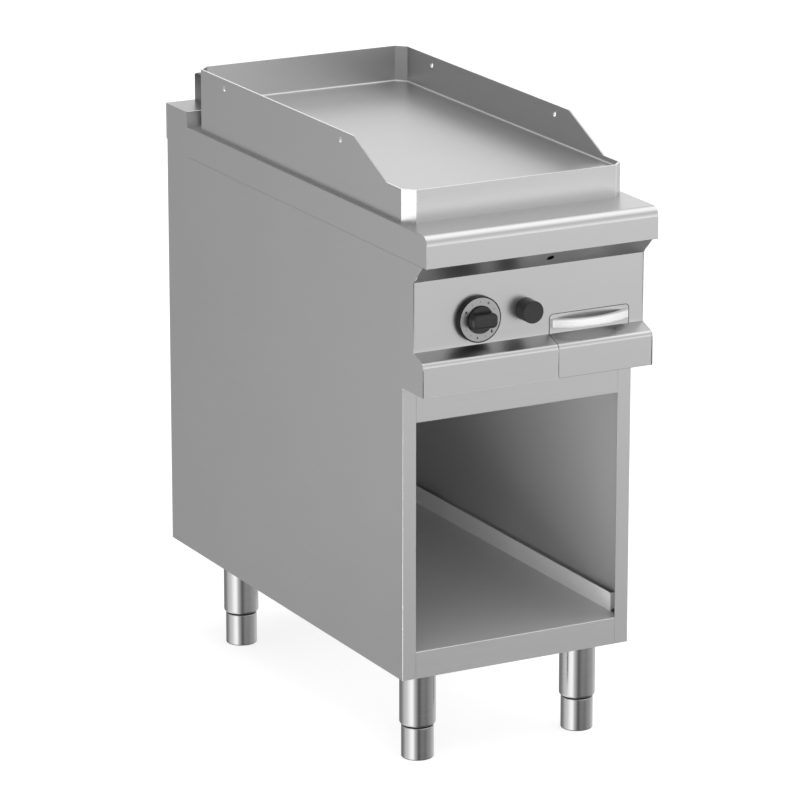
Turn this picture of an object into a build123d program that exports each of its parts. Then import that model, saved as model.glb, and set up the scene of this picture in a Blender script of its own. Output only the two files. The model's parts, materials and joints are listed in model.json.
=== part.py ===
from build123d import *
import os

os.makedirs("parts", exist_ok=True)

# A gas griddle module on an open base cabinet, in millimetres.
# X runs to the right, Y to the rear, Z up. The floor is at zero and the module is centred over the origin.

# Heights, stacked from the floor up
leg_height = 150.0
apron_height = 43.0
bay_height = 367.0
rail_height = 58.0
nose_height = 52.0
nose_slope = 11.0
panel_height = 109.0
bevel_size = 30.0
skirt_height = 50.0
upstand_height = 25.0
hood_height = 46.0

# Plan of the module
module_width = 400.0
module_depth = 900.0
panel_setback = 42.0
post_setback = 76.0
nose_reach = 30.0
upstand_depth = 80.0
upstand_lean = 4.0

# Sheet metal
sheet = 1.5
worktop_sheet = 2.0
post_width = 23.0
rear_flange = 22.0
rear_hem = 3.0
rear_hem_height = 60.0
nose_radius = 9.0
nose_lap = 12.0
bullnose = 15.0
worktop_return = 24.0
upstand_lap = 10.0
service_gap = 56.0
rail_lip = 14.0
seam = 0.3

# Shelf
shelf_flange = 30.0
shelf_side_gap = 10.5
shelf_flange_setback = 31.0

# Legs and feet
leg_inset = 57.0
front_member_gap = 11.5
rear_leg_setback = 143.0
leg_radius = 28.5
leg_wall = 1.5
leg_plate = 4.0
leg_plate_margin = 11.5
leg_end_round = 4.0
leg_insert = 20.0
foot_radius = 25.5
foot_height = 53.0
foot_neck = 2.0
foot_shoulder = 4.0
foot_round = 1.5
foot_seat = 0.3
foot_travel = 45.0
stem_radius = 8.0
member_margin = 5.0
member_wall = 2.0

# Griddle tray
tray_side_gap = 10.0
tray_setback = 82.0
tray_rear_gap = 15.0
tray_facet = 17.0
guard_wall = 3.0
low_wall = 51.0
tall_wall = 101.0
ramp_start = 64.5
ramp_length = 108.0
guard_hole_radius = 4.5
guard_hole_drop = 15.0
front_hole_setback = 216.0
rear_hole_inset = 103.0
plate_recess = 8.5
plate_thickness = 15.0
ledge_margin = 1.5

# Grease drain and drawer
drain_length = 60.0
drain_width = 14.0
chute_gap = 2.0
chute_margin = 1.0
chute_drop_gap = 6.0
seam_x = 35.0
tab_margin = 24.5
tab_height = 30.0
tab_corner = 6.0
drawer_gap = 1.0
drawer_end_gap = 0.4
pan_side_gap = 12.0
pan_length = 300.0
pan_rim_drop = 8.0
runner_ledge = 10.0
runner_height = 20.0
slide_gap = 0.3
handle_inset = 3.0
handle_reach = 21.0
handle_thickness = 6.5
handle_foot = 10.0
handle_end = 6.0
handle_height = 14.0
handle_drop = 7.0
handle_round = 3.5
handle_screw_inset = 5.5
handle_screw_radius = 1.5
handle_screw_head_radius = 3.5
handle_screw_head = 2.0
handle_screw_bite = 3.0

# Gas knob
knob_x = -91.0
knob_rise = 41.0
dial_depth = 10.0
dial_rim = 2.0
dial_face_width = 12.0
dial_face_thickness = 1.2
dial_bore_air = 1.0
grip_base_radius = 21.0
grip_base_gap = 2.0
grip_length = 44.0
grip_width = 23.0
grip_depth = 14.0
grip_corner = 8.0
grip_round = 5.5
knob_travel = 4.0
knob_air = 0.5
spindle_radius = 4.0
sleeve_radius = 7.5
sleeve_length = 28.0
running_fit = 0.05
panel_hole_air = 1.5
valve_width = 40.0
valve_height = 44.0
valve_spring_room = 9.5
valve_floor = 10.0

# Igniter
button_x = -7.0
button_rise = 45.0
button_radius = 17.5
button_reach = 25.0
button_round = 1.2
button_tail = 14.0
button_travel = 6.0
button_air = 0.3
igniter_wall = 4.5
igniter_spring_room = 15.5
igniter_floor = 12.0

# Bevel hole
bevel_hole_x = 27.0
bevel_hole_radius = 6.0

# Firebox and burner
firebox_setback = 100.0
firebox_rear_gap = 20.0
firebox_side_gap = 7.0
firebox_below_burner = 45.0
burner_drop = 85.0
burner_radius = 19.0
burner_wall = 1.5
burner_reach = 25.0
burner_rear_gap = 60.0
burner_cross_radius = 14.0
burner_cross_inset = 40.0
burner_port_count = 16
burner_port_width = 3.0
burner_port_length = 18.0
burner_port_pitch = 26.0
bracket_thickness = 2.0
bracket_margin = 12.0
bracket_end_gap = 45.0
fit_gap = 0.3
injector_body_radius = 11.0
injector_length = 30.0
injector_nose_radius = 6.0
injector_nose = 12.0
duct_rise = 22.0
hood_half = 150.0
hood_front_gap = 8.0
hood_rear_gap = 5.0
hood_round = 4.0
hood_lip = 9.0

# Pilot group
pilot_span = 39.0
pilot_margin = 8.0
pilot_depth = 24.0
pilot_block_height = 10.0
pilot_drop = 28.0
pilot_hood_radius = 5.0
pilot_hood = 14.0
probe_radius = 2.5
probe_spacing = 18.0
probe_rise = 26.0
electrode_radius = 3.0
electrode_rise = 24.0

# Pipes
supply_radius = 8.0
supply_bore = 6.5
supply_bend = 30.0
supply_rise = 32.0
burner_pipe_radius = 6.0
burner_pipe_bore = 5.0
burner_pipe_bend = 20.0
line_radius = 2.0
line_bore = 1.2
line_bend = 5.0
line_side = 12.0
line_spread = 11.0
line_jog = 22.0
inlet_radius = 10.48
inlet_thread = 18.0
inlet_neck_radius = 9.0
inlet_hex = 14.0
inlet_hex_height = 12.0
inlet_inset = 30.0
inlet_plate = 3.0
inlet_plate_width = 60.0

# Fasteners
bolt_edge = 10.0
bolt_radius = 3.0
bolt_head_radius = 5.5
bolt_head = 4.0
bolt_tail = 4.0
screw_radius = 2.0
screw_head_radius = 4.0
screw_head = 2.2
screw_bite = 6.0
screw_air = 0.1
screw_rows = 4
screw_end_inset = 40.0

# Rear vents
vent_length = 60.0
vent_width = 6.0
vent_pitch = 16.0
vent_rows = 5
vent_spread = 150.0
vent_rise = 70.0

# Planes that the pieces share
half_width = module_width / 2
inner_x = half_width - sheet
front_y = -module_depth / 2
rear_y = module_depth / 2
panel_y = front_y + panel_setback
panel_back_y = panel_y + sheet
nose_y = panel_y - nose_reach
bevel_y = panel_y - bevel_size
post_y = front_y + post_setback
cabinet_rear_y = rear_y - rear_hem
back_y = cabinet_rear_y - 2 * sheet
bay_back_y = back_y - service_gap - sheet
upstand_y = rear_y - upstand_depth
cabinet_bottom = leg_height
apron_top = cabinet_bottom + apron_height
bay_top = apron_top + bay_height
nose_bottom = bay_top + rail_height
nose_top = nose_bottom + nose_height
slope_top = nose_top + nose_slope
panel_top = slope_top + panel_height
skirt_bottom = panel_top + bevel_size
worktop_top = skirt_bottom + skirt_height
worktop_under = worktop_top - worktop_sheet
upstand_top = worktop_top + upstand_height
upstand_under = upstand_top - sheet
hood_top = upstand_top + hood_height
post_inner_x = half_width - post_width
nose_outline = ((panel_y, slope_top), (nose_y, nose_top), (nose_y, nose_bottom))
worktop_outline = ((upstand_y, worktop_top), (front_y, worktop_top), (front_y, skirt_bottom))

# Tray planes
tray_half = half_width - tray_side_gap
worktop_ledge = guard_wall + ledge_margin
tray_front_y = front_y + tray_setback
tray_rear_y = upstand_y - tray_rear_gap
tray_depth = tray_rear_y - tray_front_y
tray_mid_y = (tray_front_y + tray_rear_y) / 2
low_z = worktop_top + low_wall
tall_z = worktop_top + tall_wall
plate_top = low_z - plate_recess
plate_bottom = plate_top - plate_thickness
chute_front_y = tray_front_y + worktop_ledge + chute_gap
drain_y = chute_front_y + sheet + chute_margin + drain_width / 2
guard_hole_z = tall_z - guard_hole_drop
guard_holes_y = (tray_front_y + front_hole_setback, tray_rear_y - rear_hole_inset)

# Drawer planes
tab_top = slope_top + tab_height
tab_right_x = inner_x - tab_margin
tab_width = tab_right_x - seam_x
pan_left_x = seam_x + pan_side_gap
pan_right_x = tab_right_x - pan_side_gap
pan_bottom = nose_bottom + sheet + slide_gap
pan_top = tab_top - pan_rim_drop
pan_rear_y = panel_back_y + pan_length
drain_x = (pan_left_x + pan_right_x) / 2
handle_z = tab_top - handle_drop - handle_height / 2
handle_left_x = seam_x + handle_inset
handle_right_x = tab_right_x - handle_inset
handle_screws_x = (handle_left_x + handle_screw_inset, handle_right_x - handle_screw_inset)

# Control planes
knob_z = slope_top + knob_rise
button_z = slope_top + button_rise
dial_bore_radius = grip_base_radius + dial_bore_air
dial_face_radius = dial_bore_radius + dial_face_width
dial_radius = dial_face_radius + dial_rim
dial_y = panel_y - dial_depth
grip_y = dial_y - knob_travel - knob_air
grip_base_y = panel_y - knob_travel - grip_base_gap
sleeve_rear_y = panel_y + sleeve_length
valve_bore_y = sleeve_rear_y + knob_travel + valve_spring_room
valve_rear_y = valve_bore_y + valve_floor
valve_mid_y = (panel_back_y + valve_rear_y) / 2
valve_top = knob_z + valve_height / 2
valve_bottom = knob_z - valve_height / 2
button_tail_y = panel_y + button_tail
igniter_bore_y = button_tail_y + button_travel + igniter_spring_room
igniter_rear_y = igniter_bore_y + igniter_floor

# Firebox planes
firebox_half = tray_half - guard_wall - firebox_side_gap
firebox_front_y = tray_front_y + firebox_setback
firebox_rear_y = tray_rear_y - firebox_rear_gap
burner_z = plate_bottom - burner_drop
firebox_bottom = burner_z - firebox_below_burner
burner_front_y = firebox_front_y - burner_reach
burner_rear_y = firebox_rear_y - burner_rear_gap
burner_x = abs(knob_x)
injector_front_y = burner_front_y - injector_length
duct_bottom = firebox_bottom + duct_rise
duct_roof = worktop_top - upstand_lap - seam
hood_front_y = upstand_y + upstand_lean + hood_front_gap
hood_rear_y = rear_y - hood_rear_gap
pilot_x = button_x - pilot_span
pilot_y = firebox_front_y + sheet + pilot_depth / 2
pilot_bottom = burner_z - pilot_drop
pilot_top = pilot_bottom + pilot_block_height
probe_x = pilot_x + probe_spacing

# Leg planes
leg_x = half_width - leg_inset
leg_plate_size = 2 * (leg_radius + leg_plate_margin)
bolt_pitch = leg_plate_size - 2 * bolt_edge
bolt_grip = leg_plate + member_wall + bolt_tail
member_depth = leg_plate_size + 2 * member_margin
foot_neck_radius = foot_radius - foot_shoulder
front_leg_y = post_y + sheet + front_member_gap + member_depth / 2
rear_leg_y = cabinet_rear_y - rear_leg_setback
tube_bottom = foot_height + foot_neck
member_bottom = cabinet_bottom + leg_plate
member_top = apron_top - sheet
stem_top = tube_bottom + leg_insert + foot_travel
leg_places = {
    "front_left": (-leg_x, front_leg_y),
    "front_right": (leg_x, front_leg_y),
    "rear_left": (-leg_x, rear_leg_y),
    "rear_right": (leg_x, rear_leg_y),
}

# Rear screw places
screw_x = half_width - rear_flange / 2
screw_low_z = cabinet_bottom + screw_end_inset
screw_high_z = upstand_top - rear_hem_height - screw_end_inset
screw_step = (screw_high_z - screw_low_z) / (screw_rows - 1)
screw_heights = [screw_low_z + row * screw_step for row in range(screw_rows)]


def slab(x0, x1, y0, y1, z0, z1, mode=Mode.ADD):
    """A box between two corners."""
    with Locations(((x0 + x1) / 2, (y0 + y1) / 2, (z0 + z1) / 2)):
        Box(abs(x1 - x0), abs(y1 - y0), abs(z1 - z0), mode=mode)


def rod_x(y, z, x0, x1, radius, mode=Mode.ADD):
    """A round bar along X."""
    with Locations(Location(((x0 + x1) / 2, y, z), (0, 90, 0))):
        Cylinder(radius, abs(x1 - x0), mode=mode)


def rod_y(x, z, y0, y1, radius, mode=Mode.ADD):
    """A round bar along Y."""
    with Locations(Location((x, (y0 + y1) / 2, z), (90, 0, 0))):
        Cylinder(radius, abs(y1 - y0), mode=mode)


def rod_z(x, y, z0, z1, radius, mode=Mode.ADD):
    """A round bar along Z."""
    with Locations((x, y, (z0 + z1) / 2)):
        Cylinder(radius, abs(z1 - z0), mode=mode)


def pipe(points, radius, bore, bend):
    """A round tube along straight runs joined by bends."""
    with BuildPart() as tube:
        with BuildLine() as path:
            FilletPolyline(*points, radius=bend)
        with BuildSketch(Plane(origin=path.line @ 0, z_dir=path.line % 0)):
            Circle(radius)
            Circle(bore, mode=Mode.SUBTRACT)
        sweep()
    return tube.part


# Side panels, each one sheet with a folded front post and a rear flange
def side_panel(side):
    """The side sheet, with side -1 on the left and 1 on the right."""
    outer = side * half_width
    with BuildPart() as panel:
        with BuildSketch(Plane.YZ.offset(outer)):
            with BuildLine():
                FilletPolyline(*nose_outline, radius=nose_radius)
                Polyline(
                    (nose_y, nose_bottom),
                    (post_y, nose_bottom),
                    (post_y, cabinet_bottom),
                    (cabinet_rear_y, cabinet_bottom),
                    (cabinet_rear_y, upstand_top),
                    (upstand_y + upstand_lean, upstand_top),
                    (upstand_y, worktop_top),
                    (upstand_y, skirt_bottom),
                    (bevel_y, skirt_bottom),
                    (panel_y, panel_top),
                    (panel_y, slope_top),
                )
            make_face()
        extrude(amount=-side * sheet)
        slab(outer, side * post_inner_x, post_y, post_y + sheet, cabinet_bottom, nose_bottom)
        flange_x = side * (half_width - rear_flange)
        slab(outer, flange_x, cabinet_rear_y - sheet, cabinet_rear_y, cabinet_bottom, upstand_under)
        for z in screw_heights:
            rod_y(side * screw_x, z, back_y, cabinet_rear_y, screw_radius + screw_air, mode=Mode.SUBTRACT)
    return panel.part


for name, side in (("left_side_panel", -1), ("right_side_panel", 1)):
    panel = side_panel(side)
    panel.label = name
    export_step(panel, f"parts/{name}.step")

# Back panel with two columns of vent slots
with BuildPart() as back_panel:
    slab(-inner_x, inner_x, back_y, back_y + sheet, cabinet_bottom, upstand_under)
    vent_plane = Plane.XZ.offset(-back_y)
    with BuildSketch(vent_plane):
        with Locations((0, nose_bottom + vent_rise)):
            with GridLocations(vent_spread, vent_pitch, 2, vent_rows):
                SlotOverall(vent_length, vent_width)
    extrude(amount=-sheet, mode=Mode.SUBTRACT)
    for x in (-screw_x, screw_x):
        for z in screw_heights:
            rod_y(x, z, back_y, cabinet_rear_y, screw_radius + screw_air, mode=Mode.SUBTRACT)
back_panel.part.label = "back_panel"
export_step(back_panel.part, "parts/back_panel.step")

# Pan-head screws that hold the back panel to the side flanges
with BuildPart() as back_screws:
    for x in (-screw_x, screw_x):
        for z in screw_heights:
            rod_y(x, z, cabinet_rear_y - screw_bite, cabinet_rear_y, screw_radius)
            rod_y(x, z, cabinet_rear_y, cabinet_rear_y + screw_head, screw_head_radius)
back_screws.part.label = "back_screws"
export_step(back_screws.part, "parts/back_screws.step")

# Inner back of the open bay
with BuildPart() as bay_back_panel:
    slab(-inner_x, inner_x, bay_back_y, bay_back_y + sheet, apron_top, nose_bottom - sheet)
bay_back_panel.part.label = "bay_back_panel"
export_step(bay_back_panel.part, "parts/bay_back_panel.step")

# Ceiling of the open bay, under the gas compartment
with BuildPart() as bay_ceiling:
    slab(-inner_x, inner_x, post_y + sheet, bay_back_y + sheet, nose_bottom - sheet, nose_bottom)
bay_ceiling.part.label = "bay_ceiling"
export_step(bay_ceiling.part, "parts/bay_ceiling.step")

# Rail over the bay, between the posts
with BuildPart() as front_top_rail:
    rail_x = post_inner_x - seam
    slab(-rail_x, rail_x, post_y, post_y + sheet, bay_top, nose_bottom)
    slab(-rail_x, rail_x, post_y, post_y + rail_lip, bay_top, bay_top + sheet)
front_top_rail.part.label = "front_top_rail"
export_step(front_top_rail.part, "parts/front_top_rail.step")

# Shelf of the open bay, with its front apron and upturned side flanges
with BuildPart() as base_shelf:
    shelf_x = inner_x - shelf_side_gap
    slab(-shelf_x, shelf_x, post_y + sheet, bay_back_y + sheet, apron_top - sheet, apron_top)
    apron_x = post_inner_x - seam
    slab(-apron_x, apron_x, post_y, post_y + sheet, cabinet_bottom, apron_top)
    for side in (-1, 1):
        flange_x = side * (shelf_x - sheet)
        flange_y = post_y + shelf_flange_setback
        slab(side * shelf_x, flange_x, flange_y, bay_back_y, apron_top, apron_top + shelf_flange)
base_shelf.part.label = "base_shelf"
export_step(base_shelf.part, "parts/base_shelf.step")


# Box sections that carry the shelf and take the leg bolts
def cross_member(y):
    """A square tube from side to side over a pair of legs."""
    front = y - member_depth / 2
    rear = y + member_depth / 2
    with BuildPart() as member:
        slab(-inner_x, inner_x, front, rear, member_bottom, member_top)
        slab(
            -inner_x,
            inner_x,
            front + member_wall,
            rear - member_wall,
            member_bottom + member_wall,
            member_top - member_wall,
            mode=Mode.SUBTRACT,
        )
        for x in (-leg_x, leg_x):
            with BuildSketch(Plane.XY.offset(member_bottom)):
                with Locations((x, y)):
                    with GridLocations(bolt_pitch, bolt_pitch, 2, 2):
                        Circle(bolt_radius + screw_air)
            extrude(amount=member_wall, mode=Mode.SUBTRACT)
    return member.part


for name, y in (("front_cross_member", front_leg_y), ("rear_cross_member", rear_leg_y)):
    member = cross_member(y)
    member.label = name
    export_step(member, f"parts/{name}.step")


# Legs: a tube under a bolted plate, with an insert for the foot's stem
def leg(x, y):
    """One leg at its place in plan."""
    reach = leg_plate_size / 2
    with BuildPart() as tube:
        rod_z(x, y, tube_bottom, cabinet_bottom, leg_radius)
        fillet(tube.edges().group_by(Axis.Z)[0], radius=leg_end_round)
        slab(x - reach, x + reach, y - reach, y + reach, cabinet_bottom, member_bottom)
        rod_z(x, y, tube_bottom + leg_insert, cabinet_bottom, leg_radius - leg_wall, mode=Mode.SUBTRACT)
        rod_z(x, y, tube_bottom, tube_bottom + leg_insert, stem_radius + running_fit, mode=Mode.SUBTRACT)
        with BuildSketch(Plane.XY.offset(cabinet_bottom)):
            with Locations((x, y)):
                with GridLocations(bolt_pitch, bolt_pitch, 2, 2):
                    Circle(bolt_radius + screw_air)
        extrude(amount=leg_plate, mode=Mode.SUBTRACT)
    return tube.part


# Feet: a round foot on a threaded stem that screws into the leg
def foot(x, y):
    """One foot, screwed right in."""
    with BuildPart() as base:
        rod_z(x, y, 0, foot_height, foot_radius)
        fillet(base.edges().filter_by(GeomType.CIRCLE), radius=foot_round)
        rod_z(x, y, foot_height - foot_round, tube_bottom - foot_seat, foot_neck_radius)
        rod_z(x, y, foot_height, stem_top, stem_radius)
    return base.part


for name, place in leg_places.items():
    tube = leg(*place)
    tube.label = f"{name}_leg"
    export_step(tube, f"parts/{name}_leg.step")
    base = foot(*place)
    base.label = f"{name}_foot"
    export_step(base, f"parts/{name}_foot.step")

# Hex bolts that hold the leg plates to the cross members
with BuildPart() as leg_bolts:
    for x, y in leg_places.values():
        with BuildSketch(Plane.XY.offset(cabinet_bottom)):
            with Locations((x, y)):
                with GridLocations(bolt_pitch, bolt_pitch, 2, 2):
                    RegularPolygon(bolt_head_radius, 6)
        extrude(amount=-bolt_head)
        with BuildSketch(Plane.XY.offset(cabinet_bottom)):
            with Locations((x, y)):
                with GridLocations(bolt_pitch, bolt_pitch, 2, 2):
                    Circle(bolt_radius)
        extrude(amount=bolt_grip)
leg_bolts.part.label = "leg_bolts"
export_step(leg_bolts.part, "parts/leg_bolts.step")

# Worktop: a rounded front edge, side skirts and a cut-out under the griddle
with BuildPart() as worktop:
    with BuildSketch(Plane.YZ.offset(-half_width)):
        with BuildLine():
            FilletPolyline(*worktop_outline, radius=bullnose)
            Line((front_y, skirt_bottom), (front_y + worktop_return, skirt_bottom))
            offset(amount=worktop_sheet, side=Side.LEFT, kind=Kind.INTERSECTION)
        make_face()
    extrude(amount=module_width)
    for side in (-1, 1):
        with BuildSketch(Plane.YZ.offset(side * half_width)):
            with BuildLine():
                FilletPolyline(*worktop_outline, radius=bullnose)
                Polyline((front_y, skirt_bottom), (upstand_y, skirt_bottom), (upstand_y, worktop_top))
            make_face()
        extrude(amount=-side * worktop_sheet)
    with BuildSketch(Plane.XY.offset(worktop_under)) as cut_plan:
        with Locations((0, tray_mid_y)):
            Rectangle(2 * tray_half, tray_depth)
        chamfer(cut_plan.vertices(), tray_facet)
        offset(amount=-worktop_ledge, kind=Kind.INTERSECTION)
    extrude(amount=worktop_sheet, mode=Mode.SUBTRACT)
worktop.part.label = "worktop"
export_step(worktop.part, "parts/worktop.step")

# Rear upstand with its flue opening and the hem behind the side panels
with BuildPart() as rear_upstand:
    with BuildSketch(Plane.YZ.offset(-inner_x)):
        with BuildLine():
            Polyline(
                (cabinet_rear_y, upstand_top),
                (upstand_y + upstand_lean, upstand_top),
                (upstand_y, worktop_top),
                (upstand_y, worktop_top - upstand_lap),
            )
            offset(amount=sheet, side=Side.LEFT, kind=Kind.INTERSECTION)
        make_face()
    extrude(amount=2 * inner_x)
    slab(-half_width, half_width, cabinet_rear_y, rear_y, upstand_top - rear_hem_height, upstand_top)
    slab(
        -hood_half + hood_lip,
        hood_half - hood_lip,
        hood_front_y + hood_lip,
        back_y - sheet,
        upstand_under,
        upstand_top,
        mode=Mode.SUBTRACT,
    )
rear_upstand.part.label = "rear_upstand"
export_step(rear_upstand.part, "parts/rear_upstand.step")

# Flue outlet: a raised collar behind the griddle, open at the top
with BuildPart() as flue_outlet:
    slab(-hood_half, hood_half, hood_front_y, hood_rear_y, upstand_top, hood_top)
    fillet(flue_outlet.edges().group_by(Axis.Z)[-1], radius=hood_round)
    slab(
        -hood_half + sheet,
        hood_half - sheet,
        hood_front_y + sheet,
        hood_rear_y - sheet,
        upstand_top,
        hood_top - hood_round,
        mode=Mode.SUBTRACT,
    )
    slab(
        -hood_half + hood_lip,
        hood_half - hood_lip,
        hood_front_y + hood_lip,
        hood_rear_y - hood_lip,
        upstand_top,
        hood_top,
        mode=Mode.SUBTRACT,
    )
flue_outlet.part.label = "flue_outlet"
export_step(flue_outlet.part, "parts/flue_outlet.step")

# Splash guard: walls with cut corners, low in front and tall behind a ramp
with BuildPart() as splash_guard:
    with BuildSketch(Plane.XY.offset(worktop_top)) as guard_plan:
        with Locations((0, tray_mid_y)):
            Rectangle(2 * tray_half, tray_depth)
        chamfer(guard_plan.vertices(), tray_facet)
        offset(amount=-guard_wall, kind=Kind.INTERSECTION, mode=Mode.SUBTRACT)
    extrude(amount=tall_wall)
    with BuildSketch(Plane.YZ.offset(-half_width)):
        with BuildLine():
            Polyline(
                (front_y, low_z),
                (tray_front_y + ramp_start, low_z),
                (tray_front_y + ramp_start + ramp_length, tall_z),
                (front_y, tall_z),
                close=True,
            )
        make_face()
    extrude(amount=module_width, mode=Mode.SUBTRACT)
    for y in guard_holes_y:
        rod_x(y, guard_hole_z, -half_width, half_width, guard_hole_radius, mode=Mode.SUBTRACT)
splash_guard.part.label = "splash_guard"
export_step(splash_guard.part, "parts/splash_guard.step")

# Griddle plate inside the guard, with its drain slot by the front wall
with BuildPart() as griddle_plate:
    with BuildSketch(Plane.XY.offset(plate_bottom)) as plate_plan:
        with Locations((0, tray_mid_y)):
            Rectangle(2 * tray_half, tray_depth)
        chamfer(plate_plan.vertices(), tray_facet)
        offset(amount=-guard_wall, kind=Kind.INTERSECTION)
        with Locations((drain_x, drain_y)):
            SlotOverall(drain_length, drain_width, mode=Mode.SUBTRACT)
    extrude(amount=plate_thickness)
griddle_plate.part.label = "griddle_plate"
export_step(griddle_plate.part, "parts/griddle_plate.step")

# Grease chute from the drain slot down to the pan
with BuildPart() as grease_chute:
    chute_x = drain_length / 2 + chute_margin
    chute_y = drain_width / 2 + chute_margin
    chute_bottom = pan_top + chute_drop_gap
    slab(
        drain_x - chute_x - sheet,
        drain_x + chute_x + sheet,
        drain_y - chute_y - sheet,
        drain_y + chute_y + sheet,
        chute_bottom,
        plate_bottom,
    )
    slab(
        drain_x - chute_x,
        drain_x + chute_x,
        drain_y - chute_y,
        drain_y + chute_y,
        chute_bottom,
        plate_bottom,
        mode=Mode.SUBTRACT,
    )
grease_chute.part.label = "grease_chute"
export_step(grease_chute.part, "parts/grease_chute.step")

# Firebox under the plate, open below, with a flue window at the rear
with BuildPart() as firebox:
    slab(-firebox_half, firebox_half, firebox_front_y, firebox_rear_y, firebox_bottom, plate_bottom)
    slab(
        -firebox_half + sheet,
        firebox_half - sheet,
        firebox_front_y + sheet,
        firebox_rear_y - sheet,
        firebox_bottom,
        plate_bottom,
        mode=Mode.SUBTRACT,
    )
    slab(
        -hood_half + sheet,
        hood_half - sheet,
        firebox_rear_y - sheet,
        firebox_rear_y,
        duct_bottom + sheet,
        duct_roof,
        mode=Mode.SUBTRACT,
    )
    rod_y(
        -burner_x,
        burner_z,
        firebox_front_y,
        firebox_front_y + sheet,
        burner_radius + fit_gap,
        mode=Mode.SUBTRACT,
    )
firebox.part.label = "firebox"
export_step(firebox.part, "parts/firebox.step")

# Flue duct from the firebox window to the upstand
with BuildPart() as flue_duct:
    duct_front_y = upstand_y + upstand_lean + sheet
    for side in (-1, 1):
        with BuildSketch(Plane.YZ.offset(side * hood_half)):
            with BuildLine():
                Polyline(
                    (firebox_rear_y, duct_bottom),
                    (back_y, duct_bottom),
                    (back_y, upstand_under),
                    (duct_front_y, upstand_under),
                    (duct_front_y, duct_roof),
                    (firebox_rear_y, duct_roof),
                    close=True,
                )
            make_face()
        extrude(amount=-side * sheet)
    slab(-hood_half, hood_half, firebox_rear_y, back_y, duct_bottom, duct_bottom + sheet)
    slab(-hood_half, hood_half, back_y - sheet, back_y, duct_bottom, upstand_under)
flue_duct.part.label = "flue_duct"
export_step(flue_duct.part, "parts/flue_duct.step")

# Burner: two slotted tubes joined at the rear, the left one drawing air through the firebox front
with BuildPart() as burner:
    burner_inner = burner_radius - burner_wall
    burner_start_y = firebox_front_y + bracket_end_gap - bracket_margin
    cross_y = burner_rear_y - burner_cross_inset
    cross_inner = burner_cross_radius - burner_wall
    rod_y(-burner_x, burner_z, burner_front_y, burner_rear_y, burner_radius)
    rod_y(burner_x, burner_z, burner_start_y, burner_rear_y, burner_radius)
    rod_x(cross_y, burner_z, -burner_x, burner_x, burner_cross_radius)
    rod_y(-burner_x, burner_z, burner_front_y, burner_rear_y - burner_wall, burner_inner, mode=Mode.SUBTRACT)
    rod_y(
        burner_x,
        burner_z,
        burner_start_y + burner_wall,
        burner_rear_y - burner_wall,
        burner_inner,
        mode=Mode.SUBTRACT,
    )
    rod_x(cross_y, burner_z, -burner_x, burner_x, cross_inner, mode=Mode.SUBTRACT)
    port_mid_y = (burner_start_y + burner_rear_y) / 2
    with BuildSketch(Plane.XY.offset(burner_z)):
        with Locations((0, port_mid_y)):
            with GridLocations(2 * burner_x, burner_port_pitch, 2, burner_port_count):
                SlotOverall(burner_port_length, burner_port_width)
    extrude(amount=2 * burner_radius, mode=Mode.SUBTRACT)
burner.part.label = "burner"
export_step(burner.part, "parts/burner.step")


# Brackets that hold the burner tubes between the firebox walls
def burner_bracket(y):
    """A plate across the firebox with a hole for each tube."""
    reach_x = firebox_half - sheet
    reach_z = burner_radius + bracket_margin
    with BuildPart() as bracket:
        slab(-reach_x, reach_x, y, y + bracket_thickness, burner_z - reach_z, burner_z)
        for x in (-burner_x, burner_x):
            rod_y(x, burner_z, y, y + bracket_thickness, burner_radius + fit_gap, mode=Mode.SUBTRACT)
    return bracket.part


bracket_places = {
    "front_burner_bracket": firebox_front_y + bracket_end_gap,
    "rear_burner_bracket": burner_rear_y - 2 * burner_radius - bracket_end_gap,
}
for name, y in bracket_places.items():
    bracket = burner_bracket(y)
    bracket.label = name
    export_step(bracket, f"parts/{name}.step")

# Injector: a hex body whose nose points into the burner's mouth
with BuildPart() as injector:
    with BuildSketch(Plane.XZ.offset(-injector_front_y)):
        with Locations((-burner_x, burner_z)):
            RegularPolygon(injector_body_radius, 6)
    extrude(amount=-(injector_length - injector_nose))
    nose_start_y = injector_front_y + injector_length - injector_nose
    rod_y(-burner_x, burner_z, nose_start_y, burner_front_y + burner_wall, injector_nose_radius)
injector.part.label = "injector"
export_step(injector.part, "parts/injector.step")

# Gas valve behind the panel, bored for the sleeve of the knob
with BuildPart() as gas_valve:
    valve_x0 = knob_x - valve_width / 2
    valve_x1 = knob_x + valve_width / 2
    slab(valve_x0, valve_x1, panel_back_y, valve_rear_y, valve_bottom, valve_top)
    rod_y(
        knob_x,
        knob_z,
        panel_back_y,
        valve_bore_y,
        sleeve_radius + running_fit,
        mode=Mode.SUBTRACT,
    )
gas_valve.part.label = "gas_valve"
export_step(gas_valve.part, "parts/gas_valve.step")

# Sleeve that slides in the valve when the knob is pressed
with BuildPart() as valve_sleeve:
    rod_y(knob_x, knob_z, panel_y, sleeve_rear_y, sleeve_radius)
    rod_y(
        knob_x,
        knob_z,
        panel_y,
        sleeve_rear_y,
        spindle_radius + running_fit,
        mode=Mode.SUBTRACT,
    )
valve_sleeve.part.label = "valve_sleeve"
export_step(valve_sleeve.part, "parts/valve_sleeve.step")

# Spindle that turns inside the sleeve
with BuildPart() as valve_spindle:
    rod_y(knob_x, knob_z, grip_y - grip_depth / 2, sleeve_rear_y, spindle_radius)
valve_spindle.part.label = "valve_spindle"
export_step(valve_spindle.part, "parts/valve_spindle.step")

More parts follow.
